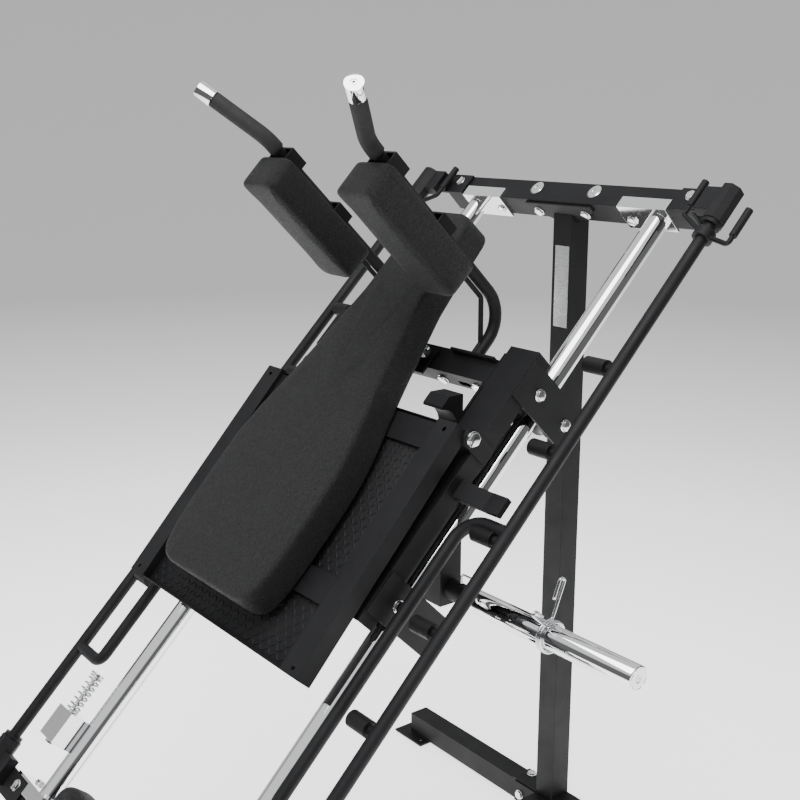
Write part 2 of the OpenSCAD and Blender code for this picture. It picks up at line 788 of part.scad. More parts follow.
// Hangers from the channels down to the plate horns, with the stub inside each sleeve
// Each is tied to the upper crossbar by a web and scalloped where the tread's end swings past
module weight_hangers() {
  color(black) {
    difference() {
      world() both_sides() {
        translate([channel_in_x - horn_hang_w, -horn_y - horn_hang_d / 2, horn_z - 34])
          cube([horn_hang_w, horn_hang_d, horn_hang_h]);
        translate([channel_in_x - 1, -horn_y, horn_z]) rotate([0, 90, 0])
          cylinder(d = sleeve_d - 6, h = sleeve_out_x - 10 - channel_in_x);
      }
      rail_frame() {
        block([-400, 0, channel_top_n + 59], [400, 900, 1500]);
        translate([-channel_in_x - 1, tread_u, tread_n]) rotate([0, 90, 0])
          cylinder(r = tread_h + 1, h = 2 * channel_in_x + 2);
      }
      world() both_sides() translate([channel_in_x + 35, -horn_y, horn_z - 60])
        cylinder(r = 5, h = 120);
    }
    rail_frame() both_sides() block([channel_in_x - 12, tread_u + 25, channel_n + 2],
      [channel_in_x - plate_t, crossbar_face_u, channel_top_n - 2]);
  }
}

// Plate sleeve, with a fine groove where the plates' own length of it begins
groove_x = collar_x + 14;

module horn_sleeve() {
  color(chrome) world() difference() {
    translate([sleeve_in_x, -horn_y, horn_z]) rotate([0, 90, 0])
      cylinder(d = sleeve_d, h = sleeve_out_x - sleeve_in_x, $fn = 96);
    translate([sleeve_in_x - 1, -horn_y, horn_z]) rotate([0, 90, 0])
      cylinder(r = sleeve_d / 2 - 3 + run_fit, h = sleeve_out_x - sleeve_in_x - 8, $fn = 96);
    translate([groove_x, -horn_y, horn_z]) rotate([0, 90, 0]) difference() {
      cylinder(r = sleeve_d / 2 + 1, h = 2, $fn = 96);
      translate([0, 0, -1]) cylinder(r = sleeve_d / 2 - 0.4, h = 4, $fn = 96);
    }
  }
}

module horn_sleeve_right() { horn_sleeve(); }

module horn_sleeve_left() { mirror([1, 0, 0]) horn_sleeve(); }

// Snap pins through the stubs, with a bail over the tube
module horn_clips() {
  color(chrome) world() both_sides() {
    x = channel_in_x + 35;
    pipe([[x, -horn_y, horn_z - 34], [x, -horn_y, horn_z + 44], [x + 38, -horn_y, horn_z + 44],
      [x + 38, -horn_y, horn_z + sleeve_d / 2 - 3 + soft_gap]], 8, 4.8);
  }
}

// Axles, nuts and visible bolts of the sled
module sled_bolts() {
  color(chrome) rail_frame() both_sides() {
    for (u = [roller_top_u, roller_low_u]) for (dir = [-1, 1])
      translate([plate_out_x, u, rail_n + dir * axle_gap]) rotate([0, 90, 0]) {
        bolt(channel_w + 2 * plate_t);
        translate([0, 0, -channel_w - 2 * plate_t - head_h]) cylinder(d = head_d, h = head_h, $fn = 6);
      }
    translate([plate_out_x, tread_u, tread_n]) rotate([0, 90, 0]) {
      cylinder(d = 32, h = 7);
      translate([0, 0, 6]) cylinder(d = 30, h = 7, $fn = 6);
      translate([0, 0, -plate_t - 12]) cylinder(d = bolt_d, h = plate_t + 12.5);
    }
    for (x = crossbar_bolt_x) translate([x, crossbar_face_u, crossbar_bolt_n])
      rotate([90, 0, 0]) bolt(0);
  }
}

// Shoulder tubes: from the crossbar, up behind the shoulder pads, then out to the hands
tube_x = 180;
shoulder_low_n = 1450;
shoulder_back_u = shoulder_u + shoulder_t + soft_gap;
tube_u = shoulder_back_u + jtube_d / 2;
tube_n = channel_top_n - 6;
saddle_h = 47;
tube_bend_n = 1800;
hand_end = [279, tube_u, 1943];
hand_start = [tube_x, tube_u, tube_bend_n];
hand_dir = unit(hand_end - hand_start);

module shoulder_tubes() {
  strut_u = tube_u - 22;
  strut_n = channel_top_n + 5.5;
  color(black) rail_frame() both_sides() {
    pipe([[tube_x, crossbar_back_u, tube_n], [tube_x, tube_u, tube_n], hand_start, hand_end],
      75, jtube_d);
    pipe([[tube_x, strut_u, shoulder_low_n - 10], [tube_x, strut_u, 1363],
      [tube_x, strut_u - 69, strut_n], [tube_x, lip_u + plate_t, strut_n]], 12, 11);
    block([tube_x - 5, strut_u, shoulder_low_n - 22], [tube_x + 5, tube_u, shoulder_low_n - 10]);
    for (n = [shoulder_low_n + 89, shoulder_low_n + shoulder_h - 10 - saddle_h]) difference() {
      block([tube_x - 33, shoulder_back_u, n], [tube_x + 33, shoulder_back_u + 31, n + saddle_h]);
      block([tube_x - 30, shoulder_back_u - 1, n - 1],
        [tube_x + 30, shoulder_back_u + 26.5, n + saddle_h + 1]);
    }
  }
}

module hand_grips() {
  pad_end = shoulder_low_n + shoulder_h;
  color(rubber) rail_frame() both_sides() difference() {
    pipe([[tube_x, tube_u, pad_end + 1], hand_start, hand_end - hand_dir * 34], 75, grip_d);
    pipe([[tube_x, tube_u, pad_end - 20], hand_start, hand_end], 75, jtube_d + 0.4);
  }
}

module grip_caps() {
  color(chrome) rail_frame() both_sides() difference() {
    rod(hand_end - hand_dir * 33.7, hand_end + hand_dir * 6, grip_d + 4);
    rod(hand_end - hand_dir * 40, hand_end, jtube_d + 0.2);
  }
}

module shoulder_pad() {
  w = shoulder_w / 2;
  color(vinyl) rail_frame()
    translate([shoulder_x + w, shoulder_u + shoulder_t, shoulder_low_n]) rotate([90, 0, 0])
      cushion([[0, w - 11], [12, w - 4], [30, w], [110, w], [200, w], [shoulder_h, w]],
        shoulder_t, 13, 2, 2, 18);
}

module shoulder_pad_right() { shoulder_pad(); }

module shoulder_pad_left() { mirror([1, 0, 0]) shoulder_pad(); }

// Fixed half of the back pad's hinge, with its pin
module pad_hinge_bracket() {
  color(black) rail_frame() {
    block([-72, roller_top_u - 52, channel_top_n], [72, roller_top_u + 12, channel_top_n + 5]);
    for (x0 = [-56, 50]) {
      block([x0, pad_hinge_u - 13, channel_top_n + 4], [x0 + 6, pad_hinge_u + 13, pad_hinge_n]);
      translate([x0, pad_hinge_u, pad_hinge_n]) rotate([0, 90, 0]) cylinder(r = 13, h = 6);
    }
  }
  color(chrome) rail_frame() {
    translate([-57, pad_hinge_u, pad_hinge_n]) rotate([0, 90, 0]) cylinder(r = 6, h = 114);
    both_sides() translate([56, pad_hinge_u, pad_hinge_n]) rotate([0, 90, 0]) bolt(0);
  }
}

// Rollers: a groove that follows the rail, and a bore on the axle
module roller() {
  groove = rail_d / 2 + 0.3;
  steps = 8;
  half = roller_w / 2;
  reach = min(half - 3, groove - 3);
  rotate([0, 90, 0]) difference() {
    rotate_extrude($fn = 72) polygon(concat(
      [[0, -half], [axle_gap - sqrt(groove * groove - reach * reach), -half]],
      [for (i = [-steps : steps]) let(dx = reach * i / steps)
        [axle_gap - sqrt(groove * groove - dx * dx), dx]],
      [[axle_gap - sqrt(groove * groove - reach * reach), half], [0, half]]));
    translate([0, 0, -50]) cylinder(r = bolt_d / 2 + run_fit, h = 100);
  }
}

module roller_pair(u, dir) {
  color(rubber) rail_frame() both_sides()
    translate([rail_x, u, rail_n + dir * axle_gap]) roller();
}

module rollers_upper_over() { roller_pair(roller_top_u, 1); }

module rollers_upper_under() { roller_pair(roller_top_u, -1); }

module rollers_lower_over() { roller_pair(roller_low_u, 1); }

module rollers_lower_under() { roller_pair(roller_low_u, -1); }

// Spring collar: two turns of wire round the sleeve with a hairpin handle at each end
collar_r = (sleeve_d / 2 + soft_gap + collar_wire_d / 2) / cos(22);
collar_pitch = collar_wire_d + 0.9;
collar_start = 85;
collar_turns = 2.07;
collar_steps = 17;
collar_step = 360 * collar_turns / collar_steps;

function collar_point(a, dx, r) = [dx, r * cos(a), r * sin(a)];

collar_coil = [for (i = [0 : collar_steps]) let(a = collar_start + collar_step * i)
  collar_point(a, collar_pitch * (a - collar_start) / 360, collar_r)];
collar_end = collar_start + 360 * collar_turns;

function hairpin(a, dx, turn) = let(
  out = [0, cos(a), sin(a)],
  across = [0, -sin(a), cos(a)] * turn,
  base = collar_point(a, dx, collar_r)
) [
  base + across * 14 + out * 5, base + across * 22 + out * 18, base + across * 25 + out * 72,
  base + across * 21 + out * 80, base + across * 14 + out * 81, base + across * 10 + out * 75,
  base + across * 9 + out * 66, base + across * 7 + out * 44
];

collar_wire = concat(
  [for (i = [7 : -1 : 0]) hairpin(collar_start, 0, -1)[i]],
  collar_coil,
  hairpin(collar_end, collar_pitch * (collar_end - collar_start) / 360, 1)
);

echo(spring_collar_gap = self_gap(collar_wire, collar_wire_d, 5));

module spring_collar() {
  color(chrome) world() translate([collar_x - collar_pitch, -horn_y, horn_z])
    wire(collar_wire, collar_wire_d, [1, 0, 0]);
}

module spring_collar_right() { spring_collar(); }

module spring_collar_left() { mirror([1, 0, 0]) spring_collar(); }

// Rubber stops on the channels under the low end of the tread frame
stop_u = channel_low_u + 14;

module tread_stops() {
  top_n = tread_n + (stop_u - tread_u) * tan(tread_tilt)
    + (tread_top_z - tread_h) / cos(tread_tilt) - soft_gap;
  color(rubber) rail_frame() both_sides()
    block([channel_in_x + 38, stop_u, channel_top_n], [channel_in_x + 68, stop_u + 28, top_n]);
}

// Tread plate, hinged on the channels' ears

tread_top_z = 46;

module tread_space() {
  rail_frame() translate([0, tread_u, tread_n]) rotate([tread_tilt, 0, 0]) children();
}

module tread_frame() {
  low = 5 - tread_len;
  color(black) tread_space() {
    both_sides() difference() {
      union() {
        block([tread_half - tread_flange, low, tread_top_z - tread_h],
          [tread_half, 5, tread_top_z]);
        block([tread_half - plate_t, -14, -13], [tread_half, 5, tread_top_z - tread_h + 1]);
      }
      translate([tread_half - 20, 0, 0]) rotate([0, 90, 0])
        cylinder(r = bolt_d / 2 + run_fit, h = 40);
      for (v = [low + 16, -14]) translate([tread_half - 25, v, tread_top_z - 12])
        cylinder(r = 5, h = 20);
      block([tread_half - tread_flange + 3, low - 1, tread_top_z - tread_h + 3],
        [tread_half - 3, 2, tread_top_z - 3]);
    }
    for (b = [[low + 140, 6.8], [low + 502, 11.5]])
      block([tread_flange - tread_half - 1, b[0], tread_top_z - b[1] - 5],
        [tread_half - tread_flange + 1, b[0] + 60, tread_top_z - b[1]]);
  }
}

module tread_plate() {
  low = 5 - tread_len;
  inner = tread_half - tread_flange;
  color(black) tread_space() difference() {
    block([-inner, low, tread_top_z - 24], [inner, 5, tread_top_z - 2]);
    block([-inner - 1, low + 3, tread_top_z - 20], [inner + 1, 2, tread_top_z + 5]);
    block([-inner - 1, -10, tread_top_z - 13], [inner + 1, 10, tread_top_z + 5]);
  }
}

// Back pad on its hinge leaf

module pad_space() {
  rail_frame() translate([0, pad_hinge_u, pad_hinge_n]) rotate([pad_tilt, 0, 0]) children();
}

module pad_leaf() {
  color(black) pad_space() difference() {
    union() {
      block([-80, -45, pad_back_z - 5], [80, 55, pad_back_z]);
      for (x0 = [-40.5, 34.5]) {
        block([x0, -12, 0], [x0 + 6, 12, pad_back_z - 4]);
        translate([x0, 0, 0]) rotate([0, 90, 0]) cylinder(r = 12, h = 6);
      }
    }
    translate([-60, 0, 0]) rotate([0, 90, 0]) cylinder(r = 6 + run_fit, h = 120);
  }
}

module back_pad() {
  v = pad_low_u - pad_hinge_u;
  color(vinyl) pad_space() translate([0, 0, pad_back_z])
    cushion([[v, 177], [v + 80, 195], [v + 150, 200], [v + 240, 202], [v + 320, 200],
      [v + 400, 185], [v + 474, 163], [v + 570, 140], [v + 640, 126], [v + 700, 113],
      [v + 740, 105], [v + 820, 99], [pad_top_u - pad_hinge_u, 93]],
      pad_t, 12, 4, 3, 62);
}

// Leg press seat

module seat_frame() {
  color(black) difference() {
    union() {
      rail_frame() {
        difference() {
          block([-seat_tube_w / 2, pivot_u - 58, seat_tube_n - seat_tube_w / 2],
            [seat_tube_w / 2, low_front_u - plate_t, seat_tube_n + seat_tube_w / 2]);
          block([tube_wall - seat_tube_w / 2, pivot_u - 55, seat_tube_n - seat_tube_w / 2 + tube_wall],
            [seat_tube_w / 2 - tube_wall, low_front_u, seat_tube_n + seat_tube_w / 2 - tube_wall]);
        }
        block([-55, low_front_u - plate_t, beam_low_n + 4], [55, low_front_u, beam_top_n]);
        block([-90, seat_u - seat_len + 20, beam_top_n], [90, seat_u - 25, beam_top_n + 5]);
        for (x0 = [-31 - plate_t, 31]) block([x0, pivot_u - 34, seat_tube_n - 20],
          [x0 + plate_t, pivot_u + 34, pivot_n + 16]);
        block([-32, pivot_u - 30, seat_tube_n - 15], [32, pivot_u + 30, seat_tube_n + 15]);
      }
      world() block([-25, front_foot_y - 25, floor_top], [25, front_foot_y + 25, 250]);
    }
    back_space() rotate([0, 90, 0]) translate([0, 0, -50]) cylinder(r = pivot_pin_r + run_fit, h = 100);
    rail_frame() block([-26, pivot_u - 200, seat_tube_n + seat_tube_w / 2], [26, low_front_u - 100, 1290]);
  }
}

module seat_cushion() {
  color(vinyl) rail_frame() translate([0, seat_u - seat_len, beam_top_n + 5 + soft_gap])
    cushion([[0, seat_half], [60, seat_half], [110, seat_half], [155, seat_half], [200, seat_half],
      [250, seat_half], [seat_len, seat_half]], seat_t, 16, 5, 3, 45);
}

module back_space() {
  rail_frame() translate([0, pivot_u, pivot_n]) rotate([backrest_lean, 0, 0]) children();
}

module backrest_frame() {
  color(black) back_space() {
    difference() {
      union() {
        rotate([0, 90, 0]) translate([0, 0, -30]) cylinder(r = 19, h = 60);
        block([-20, -20, 10], [20, 20, back_top - 60]);
        for (z = [130, back_top - 160])
          block([-seat_half + 50, 19, z], [seat_half - 50, 25, z + 60]);
      }
      rotate([0, 90, 0]) translate([0, 0, -50]) cylinder(r = pivot_pin_r + run_fit, h = 100);
    }
  }
  color(chrome) back_space() rotate([0, 90, 0]) translate([0, 0, -42])
    cylinder(r = pivot_pin_r, h = 84);
}

module backrest_cushion() {
  color(vinyl) back_space() translate([0, 25 + soft_gap, 70]) rotate([90, 0, 0]) mirror([0, 0, 1])
    cushion([[0, seat_half], [80, seat_half], [180, seat_half + 5], [280, seat_half + 8],
      [380, seat_half + 5], [470, seat_half], [backrest_len, seat_half - 15]],
      backrest_t, backrest_edge_r, 5, 3, 50);
}

// Standing plates either side of the seat, on arms from the seat tube
module standing_plates() {
  arm_u = seat_u - seat_len + 25;
  color(black) rail_frame() both_sides() {
    block([seat_tube_w / 2, arm_u - 20, seat_tube_n - 20], [seat_half + 10 + stand_w, arm_u + 20, seat_tube_n + 20]);
    block([seat_half + 10, arm_u + 20, seat_tube_n - 20],
      [seat_half + 10 + stand_w, arm_u + 25, seat_tube_n + 270]);
    for (x0 = [seat_half + 30, seat_half + stand_w - 16])
      translate([x0 + 6, arm_u + 20, seat_tube_n + 19]) rotate([90, 0, -90])
        linear_extrude(6) polygon([[0, 0], [40, 0], [0, 180]]);
  }
}

rear_post();
rear_foot_tube();
base_spine();
front_foot_tube();
front_upright();
tube_caps();
rubber_feet();
top_beam();
low_beam();
gusset_plates();
label_plate();
rail_right();
rail_left();
angle_brackets();
frame_bolts();
bearing_links();
bar_bearings();
bumper_brackets();
seat_frame();
seat_cushion();
backrest_frame();
backrest_cushion();
standing_plates();
bumper_cap_right();
bumper_cap_left();
bumper_spring_right();
bumper_spring_left();
safety_bar_right();
safety_bar_left();
peg_sleeves_right();
peg_sleeves_left();
lever_right();
lever_left();
sled_channel_right();
sled_channel_left();
roller_plates();
sled_crossbars();
catch_arms();
weight_hangers();
horn_sleeve_right();
horn_sleeve_left();
sled_bolts();
horn_clips();
shoulder_tubes();
hand_grips();
grip_caps();
shoulder_pad_right();
shoulder_pad_left();
pad_hinge_bracket();
spring_collar_right();
spring_collar_left();
rollers_upper_over();
rollers_upper_under();
rollers_lower_over();
rollers_lower_under();
tread_stops();
tread_frame();
tread_plate();
pad_leaf();
back_pad();
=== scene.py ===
"""Looks of the leg press and hack squat machine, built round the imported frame.

Lengths are in metres. RAIL space has X across, Y up along the rails and Z square to them.
"""
import json
from math import cos, pi, radians, sin, sqrt, tan

import bmesh
import bpy
import numpy as np
from mathutils import Matrix, Vector

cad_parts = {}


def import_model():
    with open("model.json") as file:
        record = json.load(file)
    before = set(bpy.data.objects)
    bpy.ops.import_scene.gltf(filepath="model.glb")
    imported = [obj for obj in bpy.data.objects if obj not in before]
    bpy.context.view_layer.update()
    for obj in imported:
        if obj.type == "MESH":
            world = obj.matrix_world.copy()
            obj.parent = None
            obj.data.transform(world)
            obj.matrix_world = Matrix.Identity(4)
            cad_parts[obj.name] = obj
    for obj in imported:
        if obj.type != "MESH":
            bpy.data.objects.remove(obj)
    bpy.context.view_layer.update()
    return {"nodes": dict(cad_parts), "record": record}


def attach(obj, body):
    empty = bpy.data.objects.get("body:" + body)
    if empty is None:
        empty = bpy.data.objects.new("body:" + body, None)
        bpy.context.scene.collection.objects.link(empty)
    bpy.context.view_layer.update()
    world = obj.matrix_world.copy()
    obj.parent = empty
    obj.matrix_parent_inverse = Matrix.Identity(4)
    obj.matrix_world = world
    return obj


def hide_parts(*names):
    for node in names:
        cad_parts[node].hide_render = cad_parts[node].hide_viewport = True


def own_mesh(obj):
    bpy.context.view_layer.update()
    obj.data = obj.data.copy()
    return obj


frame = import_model()
nodes = frame["nodes"]

# Places, as in the part's source
ORIGIN_Y = 0.955318
WORLD = Matrix.Translation((0, ORIGIN_Y, 0))
RAIL = WORLD @ Matrix.Rotation(radians(45), 4, "X")
PAD_HINGE = (0.640, 1.306)
PAD = RAIL @ Matrix.Translation((0, *PAD_HINGE)) @ Matrix.Rotation(radians(2.1), 4, "X")
TREAD_HINGE = (0.475, 1.314)
TREAD = RAIL @ Matrix.Translation((0, *TREAD_HINGE)) @ Matrix.Rotation(radians(2.9), 4, "X")
BACKREST = RAIL @ Matrix.Translation((0, -0.872, 1.240)) @ Matrix.Rotation(radians(12), 4, "X")
RAIL_X, RAIL_N = 0.300, 1.173
BEAM_TOP_N = 1.203
TOP_FRONT_U, TOP_BACK_U = 1.172, 1.232
LOW_FRONT_U, LOW_BACK_U = -0.660, -0.600
PLATE = 0.006
CHANNEL_TOP_N = 1.288
CHANNEL_OUT_X, CHANNEL_W = 0.346, 0.084
ROLLER_U = (0.132, 0.647)
AXLE_GAP = 0.054
HORN_Y, HORN_Z = -0.566, 0.914
SHOULDER_X, SHOULDER_U, SHOULDER_N = 0.1775, 0.692, 1.450
SHOULDER_T, SHOULDER_H = 0.084, 0.316
CROSSBAR_FACE_U = 0.614
CROSSBAR_BOLT_X = (0.100, 0.212)


def camera():
    data = bpy.data.cameras.new("camera")
    data.lens = 52.45
    data.sensor_width = 36
    obj = bpy.data.objects.new("camera", data)
    obj.location = (2.000, -1.094182, 1.877)
    obj.rotation_euler = (radians(76.324), 0, radians(52.182))
    bpy.context.scene.collection.objects.link(obj)
    bpy.context.scene.camera = obj


camera()


# Materials

class Shader:
    """A material under construction: one principled shader and helpers for its nodes."""

    def __init__(self, name, base, rough, metallic=0.0, **sockets):
        self.material = bpy.data.materials.new(name)
        self.material.use_nodes = True
        self.tree = self.material.node_tree
        self.shader = self.tree.nodes["Principled BSDF"]
        self.set("Base Color", (*base, 1))
        self.set("Roughness", rough)
        self.set("Metallic", metallic)
        for name, value in sockets.items():
            self.set(name.replace("_", " "), value)
        self.place = self.node("TexCoord").outputs["Object"]

    def set(self, socket, value):
        self.shader.inputs[socket].default_value = value

    def node(self, kind, **values):
        made = self.tree.nodes.new("ShaderNode" + kind)
        for name, value in values.items():
            if name in made.inputs:
                made.inputs[name].default_value = value
            else:
                setattr(made, name, value)
        return made

    def link(self, source, target):
        self.tree.links.new(source, target)

    def noise(self, scale, detail=3.0, rough=0.55, stretch=None):
        made = self.node("TexNoise", Scale=scale, Detail=detail, Roughness=rough)
        place = self.place
        if stretch:
            mapping = self.node("Mapping", Scale=stretch)
            self.link(self.place, mapping.inputs["Vector"])
            place = mapping.outputs["Vector"]
        self.link(place, made.inputs["Vector"])
        return made.outputs["Fac"]

    def cells(self, scale, feature="SMOOTH_F1"):
        made = self.node("TexVoronoi", feature=feature, Scale=scale)
        self.link(self.place, made.inputs["Vector"])
        return made.outputs["Distance"]

    def spread(self, source, low, high, start=0.3, end=0.7):
        """The source, stretched from start..end to low..high."""
        made = self.node("MapRange")
        for name, value in (("From Min", start), ("From Max", end), ("To Min", low), ("To Max", high)):
            made.inputs[name].default_value = value
        self.link(source, made.inputs["Value"])
        return made.outputs["Result"]

    def tint(self, source, dark, light, start=0.3, end=0.7):
        ramp = self.node("ValToRGB")
        ramp.color_ramp.elements[0].position = start
        ramp.color_ramp.elements[0].color = (*dark, 1)
        ramp.color_ramp.elements[1].position = end
        ramp.color_ramp.elements[1].color = (*light, 1)
        self.link(source, ramp.inputs["Fac"])
        self.link(ramp.outputs["Color"], self.shader.inputs["Base Color"])

    def vary_rough(self, source, low, high):
        self.link(self.spread(source, low, high), self.shader.inputs["Roughness"])

    def bumps(self, layers, edge=0.0):
        """Bump layers, each (height source, strength, distance), over edges rounded by edge metres."""
        normal = None
        if edge:
            normal = self.node("Bevel", samples=6, Radius=edge).outputs["Normal"]
        for source, strength, distance in layers:
            made = self.node("Bump", Strength=strength, Distance=distance)
            self.link(source, made.inputs["Height"])
            if normal:
                self.link(normal, made.inputs["Normal"])
            normal = made.outputs["Normal"]
        self.link(normal, self.shader.inputs["Normal"])


def powder_coat():
    m = Shader("powder_black", (0.007, 0.007, 0.008), 0.42, Specular_IOR_Level=0.26)
    m.tint(m.noise(9, 4), (0.006, 0.006, 0.007), (0.011, 0.011, 0.012))
    m.vary_rough(m.noise(14, 5), 0.50, 0.62)
    m.bumps([(m.noise(420, 2), 0.25, 0.0006), (m.noise(1500, 2), 0.2, 0.0003)], edge=0.0018)
    return m.material


def leather(name, base, grain):
    dark = tuple(c * 0.60 for c in base)
    m = Shader(name, base, 0.5, Specular_IOR_Level=0.30, Sheen_Weight=0.05, Sheen_Roughness=0.4)
    speckle = m.noise(grain, 3, 0.7)
    m.tint(speckle, dark, base, 0.35, 0.65)
    m.link(m.spread(speckle, 0.12, 0.34), m.shader.inputs["Specular IOR Level"])
    pores = m.cells(grain)
    m.vary_rough(pores, 0.60, 0.46)
    m.bumps([(m.noise(11, 3), 0.12, 0.006), (pores, 0.55, 0.0020), (m.noise(grain * 2, 4, 0.7), 0.8, 0.0030)])
    return m.material


def metal(name, base, rough, grain, stretch=None, edge=0.0, mottle=0.9):
    m = Shader(name, base, rough, 1.0)
    dark = tuple(c * mottle for c in base)
    m.tint(m.noise(30, 4, stretch=stretch), dark, base)
    m.vary_rough(m.noise(grain, 4, stretch=stretch), rough * 0.75, rough * 1.35)
    m.bumps([(m.noise(grain * 6, 2, stretch=stretch), 0.04, 0.0004)], edge=edge)
    return m.material


def soft_black(name, base, rough, grain, strength, edge=0.0012):
    m = Shader(name, base, rough, Specular_IOR_Level=0.35)
    m.tint(m.noise(22, 4), tuple(c * 0.75 for c in base), base)
    m.vary_rough(m.noise(60, 3), rough - 0.06, rough + 0.06)
    m.bumps([(m.cells(grain, "F1"), strength, 0.0006), (m.noise(grain * 2, 2), 0.2, 0.0003)], edge=edge)
    return m.material


FINISH = {
    "powder_black": powder_coat(),
    "chrome": metal("chrome", (0.93, 0.93, 0.94), 0.035, 24, mottle=0.985),
    "zinc": metal("zinc", (0.86, 0.86, 0.87), 0.06, 60, edge=0.0010, mottle=0.97),
    "bolt_zinc": metal("bolt_zinc", (0.88, 0.88, 0.89), 0.13, 90, edge=0.0004, mottle=0.95),
    "spring_steel": metal("spring_steel", (0.72, 0.73, 0.75), 0.14, 150),
    "rubber": soft_black("rubber", (0.006, 0.006, 0.006), 0.55, 600, 0.18),
    "grip_foam": soft_black("grip_foam", (0.022, 0.022, 0.022), 0.72, 950, 0.5),
    "cap_plastic": soft_black("cap_plastic", (0.010, 0.010, 0.010), 0.38, 800, 0.06),
    "roller": soft_black("roller", (0.020, 0.020, 0.021), 0.34, 500, 0.05),
    "vinyl": leather("vinyl", (0.013, 0.013, 0.014), 260),
    "label": metal("label", (0.90, 0.90, 0.91), 0.30, 60, (1, 1, 12), 0.0005),
}


def dress_cad():
    """Every node kept from the frame takes its record slot's finish."""
    for part in frame["record"]["subparts"]:
        obj = nodes[part["node"]]
        for s in obj.material_slots:
            s.link = "OBJECT"
            s.material = FINISH[part["material_slot"]]


dress_cad()


# Mesh helpers

def new_object(name, bm, finish, matrix=None, smooth=True):
    mesh = bpy.data.meshes.new(name)
    if matrix is not None:
        bm.transform(matrix)
    bmesh.ops.recalc_face_normals(bm, faces=bm.faces)
    bm.to_mesh(mesh)
    bm.free()
    mesh.materials.append(FINISH[finish])
    for p in mesh.polygons:
        p.use_smooth = smooth
    obj = bpy.data.objects.new(name, mesh)
    bpy.context.scene.collection.objects.link(obj)
    return obj


def crisp(obj, degrees=32):
    """Smooth shading that keeps the edges sharper than the angle."""
    obj.data.set_sharp_from_angle(angle=radians(degrees))
    return obj


def skin_rings(bm, rings):
    """Faces between rings of equal length, and one over each end."""
    loops = [[bm.verts.new(p) for p in ring] for ring in rings]
    count = len(loops[0])
    for a, b in zip(loops, loops[1:]):
        for i in range(count):
            k = (i + 1) % count
            bm.faces.new((a[i], a[k], b[k], b[i]))
    bm.faces.new(list(reversed(loops[0])))
    bm.faces.new(loops[-1])


def lathe(bm, profile, start, direction, sides=48):
    """Turns profile, a list of (distance along, radius), round direction from start."""
    direction = Vector(direction).normalized()
    across = direction.orthogonal().normalized()
    other = direction.cross(across)
    rings = [[Vector(start) + direction * along + (across * cos(a) + other * sin(a)) * radius
              for a in (2 * pi * i / sides for i in range(sides))]
             for along, radius in profile]
    skin_rings(bm, rings)


def sweep(bm, points, radius, sides=12):
    """A tube along points, with its sides carried round the bends without twist."""
    points = [Vector(p) for p in points]
    normal = None
    rings = []
    for i, p in enumerate(points):
        t = (points[min(i + 1, len(points) - 1)] - points[max(i - 1, 0)]).normalized()
        normal = t.orthogonal() if normal is None else normal - t * normal.dot(t)
        normal.normalize()
        side = t.cross(normal)
        r = radius[i] if isinstance(radius, (list, tuple)) else radius
        rings.append([p + (normal * cos(a) + side * sin(a)) * r
                      for a in (2 * pi * k / sides for k in range(sides))])
    skin_rings(bm, rings)


def bend(points, radius, steps=8):
    """Points with each inner corner turned into an arc of the radius."""
    points = [Vector(p) for p in points]
    out = [points[0]]
    for a, b, c in zip(points, points[1:], points[2:]):
        into, away = (b - a).normalized(), (c - b).normalized()
        angle = into.angle(away)
        if angle < 1e-4:
            continue
        trim = radius * tan(angle / 2)
        axis = into.cross(away).normalized()
        centre = b - into * trim + axis.cross(into) * radius
        spoke = b - into * trim - centre
        out += [centre + Matrix.Rotation(angle * i / steps, 3, axis) @ spoke for i in range(steps + 1)]
    return out + [points[-1]]


def box(bm, low, high, chamfer=0.0):
    made = bmesh.ops.create_cube(bm, size=1)["verts"]
    low, high = Vector(low), Vector(high)
    for v in made:
        v.co = Vector([(low[i] + high[i]) / 2 + v.co[i] * (high[i] - low[i]) for i in range(3)])
    if chamfer:
        edges = {e for v in made for e in v.link_edges}
        bmesh.ops.bevel(bm, geom=list(edges), offset=chamfer, segments=2, profile=0.5, affect="EDGES")


def mirrored(bm):
    """Adds the mirror image across X = 0."""
    copy = bmesh.ops.duplicate(bm, geom=bm.verts[:] + bm.edges[:] + bm.faces[:])["geom"]
    verts = [g for g in copy if isinstance(g, bmesh.types.BMVert)]
    for v in verts:
        v.co.x = -v.co.x
    bmesh.ops.reverse_faces(bm, faces=[g for g in copy if isinstance(g, bmesh.types.BMFace)])


# Cushions

def cushion_outline(stations, corner, step=0.014):
    """Points round a symmetric outline given by stations (v, half width), its corners rounded."""
    v0, v1 = stations[0][0], stations[-1][0]
    widths = np.array(stations)

    def half(v):
        w = float(np.interp(v, widths[:, 0], widths[:, 1]))
        e = min(v - v0, v1 - v)
        return w if e >= corner else w - corner + sqrt(max(0.0, corner * corner - (corner - e) ** 2))

    count = max(12, int((v1 - v0) / step))
    side = []
    for i in range(count + 1):
        f = i / count
        v = v0 + (v1 - v0) * (f - sin(2 * pi * f) / (2 * pi) * 0.55)
        side.append((half(v), v))
    flat = side[0][0]
    across = max(4, int(2 * flat / step))
    low = [(-flat + 2 * flat * i / across, v0) for i in range(1, across)]
    flat = side[-1][0]
    top = [(flat - 2 * flat * i / across, v1) for i in range(1, across)]
    return low + side + top + [(-x, v) for x, v in reversed(side)]


